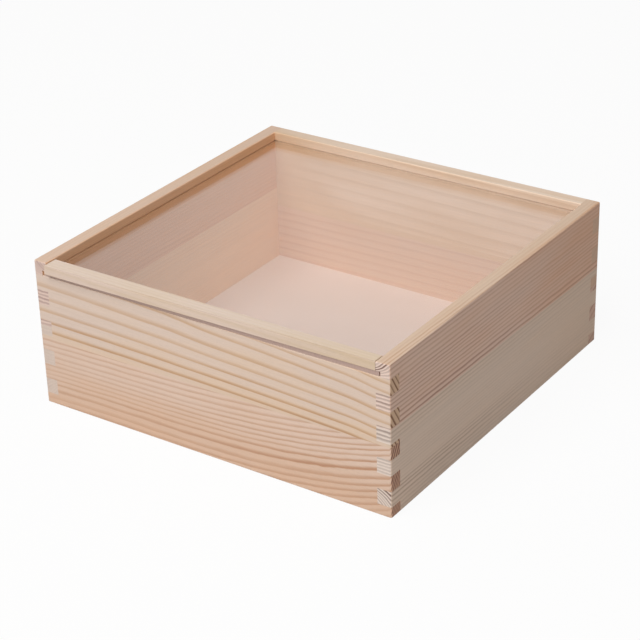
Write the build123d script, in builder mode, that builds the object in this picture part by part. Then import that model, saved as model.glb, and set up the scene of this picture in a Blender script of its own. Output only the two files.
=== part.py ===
"""A finger-jointed pine box with a thin plywood bottom and a clear lid that slides out at the front.

Lengths are in millimetres. Z is up, the front faces -Y, and the origin is the middle of the
underside. The lid slides out along -Y.
"""

import os

from build123d import *

# The box, outside, and the planed boards that its walls are glued up from
box_width = 245.0
box_depth = 240.0
box_height = 95.0
wall = 9.0

# The walls are sanded after glue-up, which rounds their corners, edges and the front sill
corner_radius = 1.2
edge_radius = 0.8
sill_radius = 0.5

# Finger joints: the front and back walls own the lowest finger, and then the walls take turns
bottom_finger = 7.0
finger_rows = 8

# Height of each wall's lower board, at the wall's left and right end as seen from outside.
# The glue line between the two boards needn't be level.
lower_board_heights = {
    "front": (44.5, 44.5),
    "right": (55.5, 51.0),
    "back": (40.0, 40.0),
    "left": (53.0, 53.0),
}

# The plywood bottom lies in a rebate, flush with the underside of the walls
bottom_thickness = 2.5
rebate_depth = 4.0

# The lid: a clear sheet that runs in grooves, and a rail on its front edge.
# The rail is flush with the front at its right end and stands proud at its left end.
sheet_thickness = 3.0
sheet_setback = 0.5
groove_depth = 3.0
groove_lip = 5.5
rail_depth = 7.5
rail_proud = 2.8

# Clearances of the lid: above and below the sheet, at its edges, and at the rail's two ends.
# The rail sits a little to the right.
sheet_play = 0.15
edge_play = 1.0
rail_play_left = 1.2
rail_play_right = 0.2

# Heights that follow from the sizes above
groove_height = sheet_thickness + 2 * sheet_play
sill_height = box_height - groove_lip - groove_height
finger_height = (sill_height - bottom_finger) / finger_rows

# Places that follow from the sizes above
front = -box_depth / 2
inside_width = box_width - 2 * wall
inside_depth = box_depth - 2 * wall
groove_width = inside_width + 2 * groove_depth
groove_back = inside_depth / 2 + groove_depth

wall_faces = {
    "front": Plane.front.offset(box_depth / 2),
    "right": Plane.right.offset(box_width / 2),
    "back": Plane.back.offset(box_depth / 2),
    "left": Plane.left.offset(box_width / 2),
}


def finger_bands():
    """The (bottom, top) height of every finger at a corner, from the lowest one up."""
    lines = [bottom_finger + row * finger_height for row in range(finger_rows + 1)]
    heights = [0.0, *lines, box_height]
    return list(zip(heights[:-1], heights[1:]))


def glue_line(side, length):
    """The plane between a wall's two boards, facing up."""
    face = wall_faces[side]
    left_height, right_height = lower_board_heights[side]
    left_end = face.from_local_coords(Vector(-length / 2, left_height))
    right_end = face.from_local_coords(Vector(length / 2, right_height))
    along = right_end - left_end
    return Plane(origin=left_end, x_dir=along, z_dir=face.z_dir.cross(along))


def make_board(side, position, length, height, notched_bands):
    """One board of a wall: the wall's outline with finger notches, cut at the glue line.

    The board is the part of the carcass inside that outline, so it brings along the carcass's
    groove, rebate and rounded edges.
    """
    keep = Keep.TOP if position == "upper" else Keep.BOTTOM
    with BuildPart() as board:
        with BuildSketch(wall_faces[side]):
            Rectangle(length, height, align=(Align.CENTER, Align.MIN))
            for low, high in notched_bands:
                with Locations(
                    (-(length - wall) / 2, (low + high) / 2),
                    ((length - wall) / 2, (low + high) / 2),
                ):
                    Rectangle(wall, high - low, mode=Mode.SUBTRACT)
        extrude(amount=-wall)
        add(carcass.part, mode=Mode.INTERSECT)
        split(bisect_by=glue_line(side, length), keep=keep)
    return board.part


def save(part, name):
    """Label a finished piece and write it to its own STEP file."""
    part.label = name
    export_step(part, f"parts/{name}.step")


os.makedirs("parts", exist_ok=True)

# The carcass is the glued-up box without its bottom: the four walls as one shape, with the lid
# opening over the front wall, the lid groove, the bottom rebate and the sanded edges.
with BuildPart() as carcass:
    Box(box_width, box_depth, box_height, align=(Align.CENTER, Align.CENTER, Align.MIN))
    fillet(carcass.edges().filter_by(Axis.Z), radius=corner_radius)

    # Inside, and the opening that leaves the front wall as a sill under the lid
    with BuildSketch(Plane.XY):
        Rectangle(inside_width, inside_depth)
    extrude(amount=box_height, mode=Mode.SUBTRACT)
    with BuildSketch(Plane.XY.offset(sill_height)):
        with Locations((0, front)):
            Rectangle(inside_width, inside_depth, align=(Align.CENTER, Align.MIN))
    extrude(amount=box_height - sill_height, mode=Mode.SUBTRACT)

    # Sanded edges: all round the top, inside and out, and round the foot
    top_face = carcass.faces().sort_by(Axis.Z)[-1]
    foot_face = carcass.faces().sort_by(Axis.Z)[0]
    fillet(top_face.edges() + foot_face.outer_wire().edges(), radius=edge_radius)

    # Groove for the lid sheet, open at the front
    with BuildSketch(Plane.XY.offset(sill_height)):
        with Locations((0, front)):
            Rectangle(groove_width, groove_back - front, align=(Align.CENTER, Align.MIN))
    extrude(amount=groove_height, mode=Mode.SUBTRACT)
    sill_edge = (
        carcass.edges()
        .filter_by(Axis.X)
        .filter_by_position(Axis.Z, sill_height - sheet_play, sill_height + sheet_play)
        .sort_by(Axis.Y)[0]
    )
    fillet(sill_edge, radius=sill_radius)

    # Rebate for the bottom
    with BuildSketch(Plane.XY):
        Rectangle(inside_width + 2 * rebate_depth, inside_depth + 2 * rebate_depth)
    extrude(amount=bottom_thickness, mode=Mode.SUBTRACT)

# The eight boards. The front and back walls are notched where a side wall's finger comes
# through, and the side walls where theirs does. The front wall stops at the sill.
bands = finger_bands()
end_wall_bands = bands[0::2]
side_wall_bands = bands[1::2]
for position in ("lower", "upper"):
    sill_notches = [band for band in side_wall_bands if band[1] <= sill_height]
    front_board = make_board("front", position, box_width, sill_height, sill_notches)
    save(front_board, f"front_wall_{position}_board")
    back_board = make_board("back", position, box_width, box_height, side_wall_bands)
    save(back_board, f"back_wall_{position}_board")
    for side in ("left", "right"):
        side_board = make_board(side, position, box_depth, box_height, end_wall_bands)
        save(side_board, f"{side}_wall_{position}_board")

# The bottom fills its rebate
with BuildPart() as bottom_panel:
    with BuildSketch(Plane.XY):
        Rectangle(inside_width + 2 * rebate_depth, inside_depth + 2 * rebate_depth)
    extrude(amount=bottom_thickness)
save(bottom_panel.part, "bottom_panel")

# The lid sheet runs in the groove and reaches nearly to the front face
sheet_bottom = sill_height + sheet_play
sheet_front = front + sheet_setback
with BuildPart() as lid_panel:
    with BuildSketch(Plane.XY.offset(sheet_bottom)):
        with Locations((0, sheet_front)):
            Rectangle(
                groove_width - 2 * edge_play,
                groove_back - edge_play - sheet_front,
                align=(Align.CENTER, Align.MIN),
            )
    extrude(amount=sheet_thickness)
save(lid_panel.part, "lid_panel")

# The rail is glued on the sheet, between the side walls and level with their top. It is a long
# taper in plan, deeper at the left end, with its grip edges rounded.
rail_left = -inside_width / 2 + rail_play_left
rail_right = inside_width / 2 - rail_play_right
rail_back = front + rail_depth
sheet_top = sheet_bottom + sheet_thickness
with BuildPart() as lid_rail:
    with BuildSketch(Plane.XY.offset(sheet_top)):
        with BuildLine():
            Polyline(
                (rail_left, front - rail_proud),
                (rail_right, front),
                (rail_right, rail_back),
                (rail_left, rail_back),
                close=True,
            )
        make_face()
    extrude(amount=box_height - sheet_top)
    fillet(lid_rail.faces().sort_by(Axis.Z)[-1].edges(), radius=edge_radius)
save(lid_rail.part, "lid_rail")
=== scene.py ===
# %% [markdown]
# # A pine keepsake box with a clear sliding lid
#
# The box is made of planed pine: four walls with finger joints at the corners, each wall glued up
# from two narrower boards, a thin plywood bottom, and a clear sheet that slides in grooves, with a
# pine rail on its front edge to pull it by. Its shapes come ready from the imported model. What is
# left to do here is light, camera and finish, and on a box of bare wood the finish is nearly all
# that one sees.
#
# First the imported model is loaded. Its box is kept, and the patterns below are laid out on it.

import bpy
from mathutils import Matrix, Vector


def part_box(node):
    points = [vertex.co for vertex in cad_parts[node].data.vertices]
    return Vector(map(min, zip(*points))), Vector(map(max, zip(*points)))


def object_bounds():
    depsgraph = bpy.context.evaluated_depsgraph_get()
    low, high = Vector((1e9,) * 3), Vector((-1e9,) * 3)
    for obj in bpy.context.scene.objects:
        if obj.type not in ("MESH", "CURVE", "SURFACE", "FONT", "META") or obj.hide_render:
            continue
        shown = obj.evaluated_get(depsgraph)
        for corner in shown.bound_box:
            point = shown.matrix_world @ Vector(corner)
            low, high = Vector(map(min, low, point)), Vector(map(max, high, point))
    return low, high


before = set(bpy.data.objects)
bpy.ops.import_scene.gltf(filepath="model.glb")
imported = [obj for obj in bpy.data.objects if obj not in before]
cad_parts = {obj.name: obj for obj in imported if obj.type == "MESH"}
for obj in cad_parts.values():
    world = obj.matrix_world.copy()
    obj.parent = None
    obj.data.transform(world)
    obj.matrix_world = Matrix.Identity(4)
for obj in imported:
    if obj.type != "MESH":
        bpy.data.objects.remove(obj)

packed_low, packed_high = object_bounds()
box_size = packed_high - packed_low
print("pieces:", len(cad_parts), "- size in mm:", [round(1000 * side, 1) for side in box_size])

# %% [markdown]
# ## The camera
#
# The camera looks down on the front right corner from about five box lengths away, with a long
# lens, so that the box's edges run nearly parallel. A camera in Blender looks along its own -Z
# with +Y up, so its matrix is built from three directions: to the right, up, and back.

# %% Camera
look = Vector((-0.50569071, 0.72745504, -0.46377373))
to_the_right = Vector((0.82871080, 0.55903845, -0.02672858))
upwards = to_the_right.cross(look)
stand = Vector((0.60704982, -0.87936668, 0.59408979))

camera_data = bpy.data.cameras.new("camera")
camera_data.sensor_width = 36.0
camera_data.lens = 111.4259
camera_data.clip_start = 0.05
camera = bpy.data.objects.new("camera", camera_data)
turn = Matrix((to_the_right, upwards, -look)).transposed().to_4x4()
camera.matrix_world = Matrix.Translation(stand) @ turn
bpy.context.scene.collection.objects.link(camera)
bpy.context.scene.camera = camera
print("camera distance in mm:", round(1000 * stand.length))

# %% [markdown]
# ## Shader maths
#
# A Blender material is a graph of nodes, and wood takes dozens of them. Placing each one by hand
# hides the idea behind the wiring. Here a small class wraps one output socket and gives it the
# operators of arithmetic, so `1 - mask` adds a Math node by itself.

# %% Values
class Value:
    """One socket of a node, which may differ at every point of a surface, with arithmetic."""

    def __init__(self, finish, socket):
        self.finish = finish
        self.socket = socket

    def __add__(self, other):
        return self.finish.math("ADD", self, other)

    def __radd__(self, other):
        return self.finish.math("ADD", other, self)

    def __sub__(self, other):
        return self.finish.math("SUBTRACT", self, other)

    def __rsub__(self, other):
        return self.finish.math("SUBTRACT", other, self)

    def __mul__(self, other):
        return self.finish.math("MULTIPLY", self, other)

    def __rmul__(self, other):
        return self.finish.math("MULTIPLY", other, self)

    def __truediv__(self, other):
        return self.finish.math("DIVIDE", self, other)

    def __rtruediv__(self, other):
        return self.finish.math("DIVIDE", other, self)

    def __neg__(self):
        return self.finish.math("MULTIPLY", self, -1.0)

    def __abs__(self):
        return self.finish.math("ABSOLUTE", self)


# %% [markdown]
# A second class is the finish being mixed. One method adds any node, from its type, its settings,
# and the values or links of its sockets. Settings come first, because they decide which sockets a
# node has. The last two methods give what every pattern starts from: where a point of the surface
# is, and how far the surface faces one way there. A pattern that is worked out from the place needs
# no picture, and it runs on over every edge.

# %% Finishes
class Finish:
    """The nodes of one material, or of the world, being laid out."""

    def __init__(self, owner):
        owner.use_nodes = True
        self.owner = owner
        self.tree = owner.node_tree
        self.tree.nodes.clear()

    def node(self, kind, settings, sockets):
        """Add a node: first its settings, then each socket's value or link. Returns its outputs."""
        made = self.tree.nodes.new(kind)
        for name, value in settings.items():
            if name == "points":
                self.set_curve(made.mapping, value)
            else:
                setattr(made, name, value)
        for name, value in sockets.items():
            socket = made.inputs[name] if isinstance(name, int) else self.find(made.inputs, name)
            if isinstance(value, Value):
                self.tree.links.new(value.socket, socket)
            else:
                socket.default_value = value
        return {socket.name: Value(self, socket) for socket in made.outputs if socket.enabled}

    @staticmethod
    def find(sockets, name):
        """The socket in use that has this name."""
        return next(socket for socket in sockets if socket.enabled and socket.name == name)

    @staticmethod
    def set_curve(mapping, points):
        """Make a curve node's line straight between its points, and straight on past its ends."""
        mapping.extend = "EXTRAPOLATED"
        line = mapping.curves[0].points
        while len(line) < len(points):
            line.new(0.5, 0.5)
        for dot, spot in zip(line, points):
            dot.location = spot
            dot.handle_type = "VECTOR"
        mapping.update()

    def math(self, operation, *numbers):
        """One Math node on numbers or values."""
        made = self.node("ShaderNodeMath", {"operation": operation}, dict(enumerate(numbers)))
        return made["Value"]

    def lead_out(self, surface, kind="ShaderNodeOutputMaterial"):
        """Lead the finished surface out, and give back the material or world that it dresses."""
        self.node(kind, {}, {"Surface": surface})
        return self.owner

    def place(self):
        """Where a point of the surface is, as x, y and z in millimetres."""
        spot = self.node("ShaderNodeTexCoord", {}, {})["Object"]
        axes = self.node("ShaderNodeSeparateXYZ", {}, {"Vector": spot})
        return [axes[name] * 1000.0 for name in "XYZ"]

    def facing(self, way):
        """How far the surface faces one way: 1 straight that way, -1 straight away from it."""
        normal = self.node("ShaderNodeNewGeometry", {}, {})["Normal"]
        sockets = {0: normal, 1: way}
        return self.node("ShaderNodeVectorMath", {"operation": "DOT_PRODUCT"}, sockets)["Value"]


# %% [markdown]
# Every pattern here is made of a few steps: a soft change from 0 to 1, the larger of two numbers,
# and smooth noise around a point. They are functions of values. Each one adds its node to the
# finish that its first value belongs to.

# %% Steps and noise
def smooth(value, low, high):
    """0 below low, 1 above high, and a soft step between them."""
    settings = {"interpolation_type": "SMOOTHSTEP"}
    sockets = {"Value": value, "From Min": low, "From Max": high}
    return value.finish.node("ShaderNodeMapRange", settings, sockets)["Result"]


def larger(value, other):
    """The larger of a value and another value or number."""
    return value.finish.math("MAXIMUM", value, other)


def point(x, y, z):
    """Three values as one point."""
    return x.finish.node("ShaderNodeCombineXYZ", {}, {"X": x, "Y": y, "Z": z})["Vector"]


def noise(spot, detail=2.0, roughness=0.5):
    """Smooth random numbers from -0.5 to 0.5, which change over about one unit of the spot."""
    sockets = {"Vector": spot, "Scale": 1.0, "Detail": detail, "Roughness": roughness}
    return spot.finish.node("ShaderNodeTexNoise", {}, sockets)["Fac"] - 0.5


# %% [markdown]
# ## Colours
#
# A paint chart gives colours as numbers from 0 to 255, spaced evenly for the eye. A shader adds up
# light, so it needs linear numbers, and one formula turns the first into the second. A Math node
# would turn a colour grey, so colours are mixed, tinted and brightened by Mix and Vector Math.

# %% Colours
def paint(red, green, blue):
    """A colour from a 0 to 255 chart, as the linear numbers that a shader works with."""
    def linear(part):
        share = part / 255
        return share / 12.92 if share <= 0.04045 else ((share + 0.055) / 1.055) ** 2.4

    return (linear(red), linear(green), linear(blue), 1.0)


def mix(share, first, second):
    """A colour between two colours."""
    sockets = {"Factor": share, "A": first, "B": second}
    return share.finish.node("ShaderNodeMix", {"data_type": "RGBA"}, sockets)["Result"]


def tint(share, colour, by):
    """A colour times another colour, where share is 1."""
    settings = {"data_type": "RGBA", "blend_type": "MULTIPLY"}
    sockets = {"Factor": share, "A": colour, "B": by}
    return share.finish.node("ShaderNodeMix", settings, sockets)["Result"]


def brighten(colour, by):
    """A colour times a number."""
    sockets = {0: colour, "Scale": by}
    return colour.finish.node("ShaderNodeVectorMath", {"operation": "SCALE"}, sockets)["Vector"]


print("mid grey on the chart, in linear:", [round(part, 3) for part in paint(128, 128, 128)[:3]])

# %% [markdown]
# ## How a board shows its tree
#
# A tree adds one ring a year: wide pale wood in spring, which ripens to a golden tone and ends in
# a narrow hard brown line in autumn. A board is a slice through those rings, so one solid pattern
# explains all its faces: long lines on the faces and edges, and short stripes on the end grain. A
# picture stuck on the faces couldn't join up at the corners. So each board gets a function of x, y
# and z that counts years, and the same code turns that count into colour.
#
# A whole count lies where a line is darkest. Half a year before and after it belongs to that line,
# so the rounded count gives each line its own luck, and what is left over is the season.
# Real rings aren't drawn with a ruler, so noise that is drawn out along the grain bends the count.

# %% Grain and seasons
ways = {"x": (1.0, 0.0, 0.0), "y": (0.0, 1.0, 0.0), "z": (0.0, 0.0, 1.0)}


def streaks(place, along, length, width):
    """A point whose noise is drawn out along the grain: length by width in millimetres."""
    sizes = [length if axis == along else width for axis in "xyz"]
    return point(*[part * (1 / size) for part, size in zip(place, sizes)])


def seasons(place, along, years, autumn, edge, waver, wobble):
    """How dark the year's line is at a point, how ripe the wood before it, and the year's luck."""
    drift = noise(streaks(place, along, 80.0, 12.0))
    stray = noise(streaks(place, along, 16.0, 3.5))
    phase = years + drift * waver + stray * wobble + 0.5
    finish = phase.finish
    season = finish.math("FRACT", phase) - 0.5
    before_the_end = 1 - smooth(season, 0.0, edge)
    line = smooth(season, -autumn, 0.0) * before_the_end
    ripe = smooth(season, -0.5, 0.0) * before_the_end
    year = finish.math("FLOOR", phase)
    luck = finish.node("ShaderNodeTexWhiteNoise", {"noise_dimensions": "1D"}, {"W": year})["Value"]
    return line, ripe, luck


# %% [markdown]
# Planed wood is matt. Its fine fibres catch the light, and its dark lines lie a hair lower. A Bump
# node shows that without any change of shape, so one ends every wood finish here.

# %% Bare wood
def bare_wood(finish, colour, roughness, height, relief, shine=0.5):
    """End a wood finish. relief is how strongly its height shows, and shine how far it mirrors."""
    deepest = 0.0001
    bump = finish.node(
        "ShaderNodeBump", {}, {"Strength": relief, "Distance": deepest, "Height": height}
    )
    surface = finish.node(
        "ShaderNodeBsdfPrincipled",
        {},
        {
            "Base Color": colour,
            "Roughness": roughness,
            "Normal": bump["Normal"],
            "Specular IOR Level": shine,
        },
    )
    return finish.lead_out(surface["BSDF"])


def dress(node, material):
    """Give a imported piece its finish."""
    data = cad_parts[node].data
    data.materials.clear()
    data.materials.append(material)
    print(node, "is finished with", material.name, "-", len(material.node_tree.nodes), "nodes")


# %% [markdown]
# Now the pine itself. A sawn end shows cut pores instead of fibres and takes the light in its own
# way, so end grain has its own colours. Noise drawn out along the grain adds the fibres, and broad
# soft noise the uneven tone. A tint that takes hold only where the surface looks one way paints
# light or shade on some faces: a painted highlight on a rounded corner, painted light on top edges
# and inner faces, and painted shade on the rail's front. The floor of the lid groove is level with
# the front wall's top, the sill, whose height is read from the imported model. That floor lies in
# shade under the groove's lip, and painted light brightens it.

# %% Pine
sill = round(1000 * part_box("front_wall_upper_board")[1][2], 1)
print("sill height in mm:", sill)


def pine(
    name,
    along,
    rings,
    tones,
    autumn=0.36,
    edge=0.1,
    waver=0.1,
    wobble=0.05,
    end_strength=1.0,
    faces=(),
    groove=(1.0, 1.0, 1.0, 1.0),
):
    """Bare planed pine.

    rings gives the count of years, how strong their lines are on a face, and how warm the tone is.
    tones are the colours of spring, summer and late wood on the faces, and of the end grain and
    its lines. autumn and edge are how long a line takes to darken and to end, in years. waver and
    wobble are how far the lines stray, over a long and a short way. end_strength is how much
    stronger the lines are on the end grain. faces lists the ways where light or shade is painted:
    the way that a face looks, from and up to how squarely it does, and its tint. groove is the tint
    of the lid groove's floor, which faces up but lies below the top: painted light in the shade
    under the groove's lip.
    """
    spring, summer, late, end_wood, end_late = [paint(*tone) for tone in tones]
    finish = Finish(bpy.data.materials.new(name))
    place = finish.place()
    end = smooth(abs(finish.facing(ways[along])), 0.6, 0.9)
    upward = smooth(finish.facing(ways["z"]), 0.6, 0.9)

    years, strength, warmth = rings(*place)
    line, ripe, luck = seasons(place, along, years, autumn, edge, waver, wobble)
    fade = noise(streaks(place, along, 50.0, 6.0)) * 0.9 + 1.0
    dark = line * strength * fade * (1 - upward * 0.75)
    end_line = finish.math("SQRT", line) * (luck * 0.5 + 0.5)
    end_dark = end_line * (strength + 0.15) * end_strength

    fibres = noise(streaks(place, along, 16.0, 0.4), detail=3.0, roughness=0.6)
    specks = noise(streaks(place, along, 2.5, 0.5), roughness=0.6)
    bands = noise(streaks(place, along, 180.0, 1.5), detail=3.0, roughness=0.6)
    clouds = noise(streaks(place, along, 70.0, 12.0))
    pores = noise(point(*[part * 2.5 for part in place]))

    warm = larger(ripe * 0.6 * (strength + 0.3) + clouds * 1.2 + warmth, 0.0)
    face_colour = mix(dark, mix(warm, spring, summer), late)
    end_colour = brighten(mix(end_dark, end_wood, end_late), pores * 0.16 + 1.0)
    uneven = fibres * 0.18 + specks * 0.14 + bands * 0.1 + clouds * 0.06
    colour = brighten(mix(end, face_colour, end_colour), uneven + 1.0)
    # Painted light and shade: each tint in faces brightens or darkens the wood where the surface
    # looks one way.
    for way, low, high, by in faces:
        colour = tint(smooth(finish.facing(way), low, high), colour, by)
    # Painted light: the groove's floor, in shade under the lip, is brightened by the groove tint.
    painted_groove_light = upward * (1 - smooth(place[2], sill + 0.8, sill + 2.8))
    colour = tint(painted_groove_light, colour, groove)

    roughness = 0.62 - dark * 0.08 + fibres * 0.1 + end * 0.12
    height = dark * -0.5 + fibres * 0.6
    return bare_wood(finish, colour, roughness, height, relief=0.25, shine=0.35)


# %% [markdown]
# ## The front wall
#
# The rings of a real tree are of uneven width, and a dry summer leaves a weak line. So for the
# boards that show their face, the lines are listed: the height of each one at the board's left
# end, and its strength at the left and at the right. A curve node turns a height into a count of
# years, and two more turn it into the strengths there.

# %% Looking up a line
def look_up(height, along, lines, pitch, weak):
    """The count of listed lines up to a height, and the strength there.

    lines lists the height of each line and its strength where along is 0 and where it is 1. Past
    each end of the list more lines follow, one every pitch, and they are weak.
    """
    heights, first_strengths, last_strengths = zip(*lines)
    extra = 10
    low, high = heights[0] - extra * pitch, heights[-1] + extra * pitch
    share = (height - low) / (high - low)

    def curve(marks, values):
        """A curve node that turns the marks, which are heights, into the values."""
        points = [((mark - low) / (high - low), value) for mark, value in zip(marks, values)]
        made = share.finish.node("ShaderNodeFloatCurve", {"points": points}, {"Value": share})
        return made["Value"]

    most = len(lines) + 2 * extra - 1
    counts = [0, *range(extra, extra + len(lines)), most]
    years = curve([low, *heights, high], [count / most for count in counts]) * most
    marks = [low, heights[0] - pitch, *heights, heights[-1] + pitch, high]
    first = curve(marks, [weak, weak, *first_strengths, weak, weak])
    last = curve(marks, [weak, weak, *last_strengths, weak, weak])
    return years, first + (last - first) * along


# %% [markdown]
# The upper board was sawn nearly along its rings, so a ring under 3 mm thick shows as lines 7 to
# 9 mm apart. They sink to the right as the tree's trunk tapered, and the top ones drop where it
# swelled around a branch. The function slides each point back to its line's height at the left
# end, and then looks that height up. How far along the wall a point is, from 0 to 1, is measured
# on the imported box.

# %% Front wall, upper board
half_width, half_depth = [round(1000 * side, 1) for side in packed_high.xy]
box_width, box_depth = 2 * half_width, 2 * half_depth
print("outer width and depth in mm:", box_width, box_depth)
upper_lines = [
    (48.8, 0.85, 1.0), (55.3, 0.82, 0.85), (62.7, 0.5, 0.8), (70.9, 0.4, 0.5), (79.1, 0.42, 0.7),
    (89.7, 0.5, 0.6),
]  # fmt: skip


def front_upper_rings(x, y, z):
    """Years across the upper front board, which grew towards the front and down.

    Going right, the lines close in on one height, sag, and sink once more at the very end. Past
    the branch, those above it drop.
    """
    u = (x + half_width) / box_width
    closing, closing_height = u * 0.255, 65.1
    sag = u * 3.94 + u * u * 4.65
    last_sink = smooth(u, 0.88, 0.98) * 1.5
    start = (z + sag + last_sink - closing * closing_height) / (1 - closing)
    branch_height = 60.0
    drop = larger(start - branch_height, 0.0) * smooth(u, 0.384, 0.525) * 0.064
    inward = (y + half_depth) * 2.4
    years, strength = look_up(start + drop + inward, u, upper_lines, pitch=8.0, weak=0.5)
    low, right = 1 - smooth(z, 46.0, 58.0), smooth(u, 0.1, 0.5)
    return -years, strength, low * 0.35 + right * 0.15


# Painted highlight: the rounded upright corner of the front and right walls is brightened where it
# faces front and right.
painted_corner_highlight = ((0.707, -0.707, 0.0), 0.9, 0.99, (1.12, 1.12, 1.12, 1.0))
wide_grain = [(217, 196, 181), (217, 188, 158), (187, 147, 112), (201, 168, 139), (128, 92, 68)]
front_upper = pine(
    "pine_front_upper",
    "x",
    front_upper_rings,
    wide_grain,
    wobble=0.06,
    end_strength=2.4,
    faces=[painted_corner_highlight],
)
dress("front_wall_upper_board", front_upper)

# %% [markdown]
# The lower board came from nearer the bark. Its lines are 3 to 4 mm apart, level at the left, and
# they sweep up at the right, where the board ran out of the trunk's side. There a saw meets them
# at a flatter angle, and they look stronger.

# %% Front wall, lower board
lower_lines = [
    (-11.5, 0.6, 0.7), (-7.8, 0.6, 0.7), (-4.0, 0.5, 0.7), (-0.5, 0.5, 0.65), (3.4, 0.3, 0.6),
    (8.7, 0.42, 1.15), (13.2, 0.4, 0.9), (16.6, 0.33, 0.5), (19.6, 0.14, 0.75), (22.4, 0.2, 0.65),
    (25.8, 0.25, 0.65), (28.7, 0.22, 0.52), (32.1, 0.3, 0.5), (36.0, 0.3, 0.5), (39.4, 0.37, 0.5),
    (42.8, 0.35, 0.4),
]  # fmt: skip


def front_lower_rings(x, y, z):
    """Years across the lower front board.

    Going right, the lines climb, slowly at first, and spread a little around one height.
    """
    u = (x + half_width) / box_width
    climb = u * 12.7 - u * u * 35.2 + u * u * u * 46.3
    spread = u * -0.19 + u * u * 0.957 - u * u * u * 0.671
    spread_height = 20.0
    start = (z - climb + spread * spread_height) / (spread + 1.0)
    inward = (y + half_depth) * 1.8
    years, strength = look_up(start - inward, u, lower_lines, pitch=3.4, weak=0.4)
    return -years, strength, (1 - smooth(z, 4.0, 44.0)) * 0.9


close_grain = [(220, 194, 176), (213, 180, 155), (184, 140, 110), (193, 152, 127), (118, 80, 64)]
front_lower = pine(
    "pine_front_lower",
    "x",
    front_lower_rings,
    close_grain,
    autumn=0.5,
    edge=0.18,
    waver=0.15,
    wobble=0.32,
    end_strength=1.9,
    faces=[painted_corner_highlight],
)
dress("front_wall_lower_board", front_lower)

# %% [markdown]
# ## The side walls
#
# The side boards were sawn across their rings, so they have straight lines about 2.6 mm apart, and
# level stripes on their ends. Near the top the rings tilt, which sets the stripes on the upper
# board's ends aslant and draws a few lines along the walls' top. Near the foot they tilt the other
# way. Both tilts are hinged at the outer face, so that its lines stay where they are listed.

# %% Lines of the side walls
right_upper_lines = [
    (56.8, 0.78, 0.55), (60.2, 0.68, 0.4), (63.3, 0.45, 0.22), (65.9, 0.4, 0.22), (68.4, 0.5, 0.22),
    (71.1, 0.45, 0.26), (73.4, 0.4, 0.22), (75.7, 0.45, 0.22), (77.9, 0.4, 0.22), (80.4, 0.5, 0.26),
    (83.3, 0.35, 0.22), (86.6, 0.25, 0.15), (89.4, 0.3, 0.15), (92.3, 0.4, 0.15), (94.6, 0.4, 0.15),
    (97.2, 1.0, 0.22), (99.8, 1.0, 0.22),
]  # fmt: skip
right_lower_lines = [
    (1.2, 0.4, 0.1), (3.6, 0.4, 0.1), (6.0, 0.4, 0.1), (8.5, 0.5, 0.1), (11.2, 0.8, 0.15),
    (14.4, 0.9, 0.15), (16.9, 0.8, 0.15), (19.1, 0.6, 0.1), (21.4, 0.15, 0.1), (24.0, 0.1, 0.05),
    (26.2, 0.25, 0.05), (28.2, 0.2, 0.05), (30.2, 0.25, 0.05), (32.2, 0.2, 0.05),
    (34.2, 0.25, 0.05), (36.2, 0.2, 0.05), (38.4, 0.15, 0.1), (40.9, 0.1, 0.1), (43.2, 0.2, 0.15),
    (45.6, 0.2, 0.2), (48.8, 0.4, 0.25), (51.2, 0.5, 0.3), (53.9, 0.6, 0.35),
]  # fmt: skip


def side_rings(outer, lines, share, golden=0.0):
    """Years across a side wall's board. outer is +1 for the right wall and -1 for the left one.

    The outer face is warmer towards the back, and golden makes the wood round the groove warmer.
    """
    def rings(x, y, z):
        v = (y + half_depth) / box_depth
        from_outside = half_width - x * outer
        fall = v * 4.1
        tilt = smooth(z, 84.0, 93.0) * 1.1 - (1 - smooth(z, 9.0, 28.0)) * 1.05
        height = z + fall + from_outside * tilt
        years, strength = look_up(height, smooth(v, 0.1, 0.85), lines, pitch=2.6, weak=0.2)
        outside, inside = 1 - smooth(from_outside, 0.5, 3.0), smooth(from_outside, 4.0, 7.0)
        by_the_groove = smooth(z, 74.0, 84.0) * (1 - smooth(z, 93.0, 94.8))
        warmth = smooth(v, 0.45, 0.95) * outside * 0.7 + by_the_groove * inside * golden
        return years, strength * share, warmth

    return rings


print("lines listed:", len(right_upper_lines), "upper and", len(right_lower_lines), "lower")

# %% [markdown]
# The right wall shows both its boards: a dark upper one with crowded lines, and a pale lower one.
# Such crowded lines are soft on both sides, and for their width they stray more than wide ones do.
# All four side boards share those settings. The upper right board's top edge is painted lighter, as
# painted light.

# %% Right wall
straight = {"autumn": 0.45, "edge": 0.3, "waver": 0.5, "wobble": 0.35}
# Painted light: the upward faces of the right upper board are brightened.
painted_top_light = (ways["z"], 0.6, 0.9, (1.05, 1.12, 1.07, 1.0))
dark_grain = [(212, 181, 162), (207, 163, 134), (136, 94, 82), (229, 206, 193), (124, 94, 82)]
pale_grain = [(209, 187, 169), (209, 183, 161), (146, 118, 100), (224, 208, 196), (122, 98, 88)]
right_upper = pine(
    "pine_right_upper",
    "y",
    side_rings(1.0, right_upper_lines, 0.95),
    dark_grain,
    end_strength=1.2,
    faces=[painted_top_light, painted_corner_highlight],
    **straight,
)
right_lower = pine(
    "pine_right_lower",
    "y",
    side_rings(1.0, right_lower_lines, 0.7),
    pale_grain,
    end_strength=1.5,
    faces=[painted_corner_highlight],
    **straight,
)
dress("right_wall_upper_board", right_upper)
dress("right_wall_lower_board", right_lower)
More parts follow.
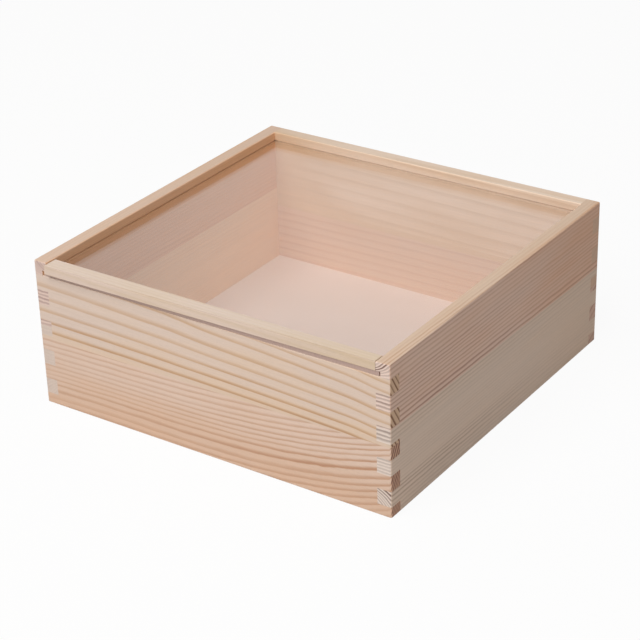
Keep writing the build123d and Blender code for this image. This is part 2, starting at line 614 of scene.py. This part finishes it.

# %% [markdown]
# The left wall's boards are so even that only faint streaks run along them. They borrow the right
# wall's lines at a fifth of their strength. Their inner faces are painted brighter and warmer than
# the top edges, as painted light where the inside of the box lies in shade.

# %% Left wall
# Painted light: the left wall's inner faces, which face +x, are brightened and warmed.
painted_inner_light_left = (ways["x"], 0.4, 0.6, (1.29, 1.14, 0.98, 1.0))
warm_grain = [(219, 190, 168), (214, 178, 144), (170, 132, 106), (220, 196, 183), (150, 116, 112)]
warm_pale = [(227, 208, 188), (223, 197, 171), (176, 146, 122), (212, 194, 181), (180, 156, 146)]
left_upper = pine(
    "pine_left_upper",
    "y",
    side_rings(-1.0, right_upper_lines, 0.2, golden=0.5),
    warm_grain,
    end_strength=2.8,
    faces=[painted_inner_light_left],
    # painted light on the groove's floor, in the shade under its lip
    groove=(1.4, 1.2, 1.0, 1.0),
    **straight,
)
left_lower = pine(
    "pine_left_lower",
    "y",
    side_rings(-1.0, right_lower_lines, 0.2),
    warm_pale,
    end_strength=0.8,
    faces=[painted_inner_light_left],
    **straight,
)
dress("left_wall_upper_board", left_upper)
dress("left_wall_lower_board", left_lower)

# %% [markdown]
# ## The back wall
#
# It is seen mostly from inside, through the clear sheet: an upper board with broad faint lines,
# and a rosier lower one with a few clear lines. Their rings are simple slanting planes, which
# need no list. Each year's strength is then the same, and the noise alone fades it here and there.

# %% Back wall
forward = (0.0, -1.0, 0.0)


def back_upper_rings(x, y, z):
    """Years across the upper back board: nearly level lines.

    The wood is darker and warmer towards the left end, as painted shade from the left wall. It is
    also warmer below the groove, low down, and in its lowest strip.
    """
    years = (z * 0.8 + x * 0.012 + (half_depth - y) * 0.6) / 6.2
    # Painted shade: the left end of the back wall is darkened, as if shaded by the left wall.
    painted_shade_left_end = 1 - smooth(x, -120.0, -40.0)
    below = 1 - smooth(z, 82.0, 88.0)
    low = 1 - smooth(z, 44.0, 72.0)
    lowest = 1 - smooth(z, 42.8, 44.2)
    return years, 0.12, painted_shade_left_end * 0.7 + below * 0.3 + low * 0.35 + lowest * 0.6 + 0.15


def back_lower_rings(x, y, z):
    """Years across the lower back board: nearly level lines."""
    years = (z * 0.85 - x * 0.015 + (half_depth - y) * 0.5) / 4.6
    return years, 0.22, 0.3


# Painted light: the back wall's inner faces, which face the front, are brightened.
painted_inner_light_back = (forward, 0.4, 0.6, (1.14, 1.11, 1.07, 1.0))
back_wide = [(236, 215, 196), (216, 186, 156), (196, 164, 136), (199, 166, 142), (180, 148, 128)]
back_close = [(217, 187, 165), (214, 178, 150), (190, 146, 122), (202, 168, 149), (144, 98, 84)]
back_upper = pine(
    "pine_back_upper",
    "x",
    back_upper_rings,
    back_wide,
    faces=[painted_inner_light_back],
    # painted light on the groove's floor, in the shade under its lip
    groove=(1.2, 1.18, 1.14, 1.0),
)
back_lower = pine(
    "pine_back_lower",
    "x",
    back_lower_rings,
    back_close,
    waver=0.3,
    end_strength=1.9,
    faces=[painted_inner_light_back],
)
dress("back_wall_upper_board", back_upper)
dress("back_wall_lower_board", back_lower)

# %% [markdown]
# ## The bottom
#
# A thin sheet of plywood lies in a rebate round the foot of the walls. Its face veneer was peeled
# off a turning log, along the rings instead of across them. So it has no lines, only soft clouds
# and short fine fibres.

# %% Plywood bottom
def plywood(name):
    """Thin smooth plywood: a pale face veneer with faint clouds and short fibres."""
    finish = Finish(bpy.data.materials.new(name))
    place = finish.place()
    clouds = noise(streaks(place, "x", 60.0, 25.0), detail=3.0)
    fibres = noise(streaks(place, "x", 9.0, 0.5), detail=3.0)
    veneer = mix(clouds + 0.5, paint(236, 217, 206), paint(228, 207, 194))
    colour = brighten(veneer, 1 + fibres * 0.05)
    return bare_wood(finish, colour, roughness=0.6 + fibres * 0.1, height=fibres, relief=0.15)


dress("bottom_panel", plywood("plywood"))

# %% [markdown]
# ## The rail
#
# The rail is a strip of the palest pine, glued on the sheet. It is the lid's grip. Its front, and
# most of all its upper front edge, are painted darker, as painted shade that tones down the lamp's
# light there. Two tints do that: each one takes hold only where the surface looks its way.

# %% Rail
def rail_rings(x, y, z):
    """Years across the rail: fine lines along it, which run out slowly at its front."""
    years = (z * 0.5 + (y + half_depth) * 0.86 + x * 0.012) / 2.4
    return years, 0.16, smooth(x, 0.0, 110.0) * 0.5 + 0.2


# Painted shade: the rail's front and its rounded upper front edge are darkened.
painted_shade_rail_front = (forward, 0.6, 0.9, (0.93, 0.91, 0.9, 1.0))
painted_shade_rail_edge = ((0.0, -0.707, 0.707), 0.85, 0.97, (0.82, 0.8, 0.79, 1.0))
rail_grain = [(226, 206, 191), (217, 195, 168), (204, 180, 148), (206, 182, 154), (150, 122, 96)]
rail = pine(
    "pine_rail",
    "x",
    rail_rings,
    rail_grain,
    autumn=0.5,
    edge=0.3,
    waver=0.3,
    faces=[painted_shade_rail_front, painted_shade_rail_edge],
)
dress("lid_rail", rail)

# %% [markdown]
# ## The clear sheet
#
# The lid is clear acrylic: its two faces are polished, and its sawn edges are matt and a little
# dusty. The faces are a Principled surface with full transmission, which bends light as the real
# plastic does. But a bent path seldom finds a lamp, so the inside of the box would stay dark and
# noisy. The Light Path node tells what kind of ray meets the surface. For the rays that gather
# light on the wood below, the sheet is plainly transparent and takes off what a real sheet does.

# %% Clear sheet
def blend_surfaces(share, first, second):
    """A surface between two surfaces."""
    return share.finish.node("ShaderNodeMixShader", {}, {0: share, 1: first, 2: second})["Shader"]


def clear_sheet(name):
    """Clear acrylic: polished faces, and sawn edges that look frosted."""
    finish = Finish(bpy.data.materials.new(name))
    x, y, z = finish.place()
    haze = noise(point(x * 0.02, y * 0.02, z * 0.02), detail=3.0)
    polished = finish.node(
        "ShaderNodeBsdfPrincipled",
        {},
        {
            "Base Color": paint(252, 252, 252),
            "Roughness": 0.01 + haze * 0.01,
            "Transmission Weight": 1.0,
            "IOR": 1.49,
            "Specular Tint": (0.36, 0.32, 0.35, 1.0),
        },
    )
    saw_marks = noise(point(x * 2.0, y * 2.0, z * 0.2))
    frosted = finish.node(
        "ShaderNodeBsdfPrincipled",
        {},
        {
            "Base Color": mix(saw_marks + 0.5, paint(192, 164, 152), paint(172, 144, 134)),
            "Roughness": 0.45,
        },
    )
    edge = 1 - smooth(abs(finish.facing(ways["z"])), 0.3, 0.7)
    sheet = blend_surfaces(edge, polished["BSDF"], frosted["BSDF"])

    passing = finish.node("ShaderNodeBsdfTransparent", {}, {"Color": (0.92, 0.92, 0.92, 1.0)})
    ray = finish.node("ShaderNodeLightPath", {}, {})
    gathering = larger(ray["Is Shadow Ray"], ray["Is Diffuse Ray"])
    return finish.lead_out(blend_surfaces(gathering, sheet, passing["BSDF"]))


dress("lid_panel", clear_sheet("clear_acrylic"))

# %% [markdown]
# ## The floor
#
# In a catalogue picture the object stands on plain white. A floor that is only lit never comes
# out even, so here the floor shows white to the camera by its own glow. A small part of it stays
# matt paint, and there the box still throws its shadow.

# %% Floor
def white_where_seen(finish):
    """1 for rays from the camera, a mirror or clear glass, which show the plain white studio."""
    ray = finish.node("ShaderNodeLightPath", {}, {})
    seen = larger(ray["Is Camera Ray"], ray["Is Glossy Ray"])
    return larger(seen, ray["Is Transmission Ray"])


glow_share = 0.93
floor_finish = Finish(bpy.data.materials.new("studio_floor"))
matt = floor_finish.node("ShaderNodeBsdfDiffuse", {}, {"Color": (0.82, 0.81, 0.8, 1.0)})
glow = floor_finish.node("ShaderNodeEmission", {}, {"Color": (1.0, 1.0, 1.0, 1.0), "Strength": 1.0})
glowing = white_where_seen(floor_finish) * glow_share
floor_material = floor_finish.lead_out(blend_surfaces(glowing, matt["BSDF"], glow["Emission"]))

floor_mesh = bpy.data.meshes.new("floor")
reach = 4.0
corners = [(-reach, -reach, 0.0), (reach, -reach, 0.0), (reach, reach, 0.0), (-reach, reach, 0.0)]
floor_mesh.from_pydata(corners, [], [(0, 1, 2, 3)])
floor_mesh.materials.append(floor_material)
floor = bpy.data.objects.new("floor", floor_mesh)
bpy.context.scene.collection.objects.link(floor)
print("floor:", 2 * reach, "m square")

# %% [markdown]
# ## The light
#
# The world shows the same white where it is seen, while the wood is lit by a softer sky. One large
# square softbox above the front lights the box. A lamp that large gives soft edges to the shadows,
# as below the rail.

# %% World and lamp
world = bpy.data.worlds.new("studio")
bpy.context.scene.world = world
sky = Finish(world)
soft = sky.node("ShaderNodeBackground", {}, {"Color": (1.0, 0.985, 0.97, 1.0), "Strength": 0.28})
white = sky.node("ShaderNodeBackground", {}, {"Color": (1.0, 1.0, 1.0, 1.0), "Strength": 1.0})
light = blend_surfaces(white_where_seen(sky), soft["Background"], white["Background"])
sky.lead_out(light, kind="ShaderNodeOutputWorld")


def softbox(name, stands, aims, side, power):
    """A square lamp of that side in metres, that stands in one place and aims at another."""
    lamp = bpy.data.lights.new(name, "AREA")
    lamp.shape = "SQUARE"
    lamp.size = side
    lamp.energy = power
    made = bpy.data.objects.new(name, lamp)
    made.location = stands
    made.rotation_euler = (Vector(aims) - Vector(stands)).to_track_quat("-Z", "Y").to_euler()
    bpy.context.scene.collection.objects.link(made)
    return made


key_lamp = softbox(
    "key_lamp", stands=(0.0, -1.1, 1.6), aims=(0.0, 0.0, 0.05), side=1.6, power=32.0
)
bpy.context.scene.view_settings.view_transform = "Standard"
print("lamp:", key_lamp.name, key_lamp.data.energy, "W")
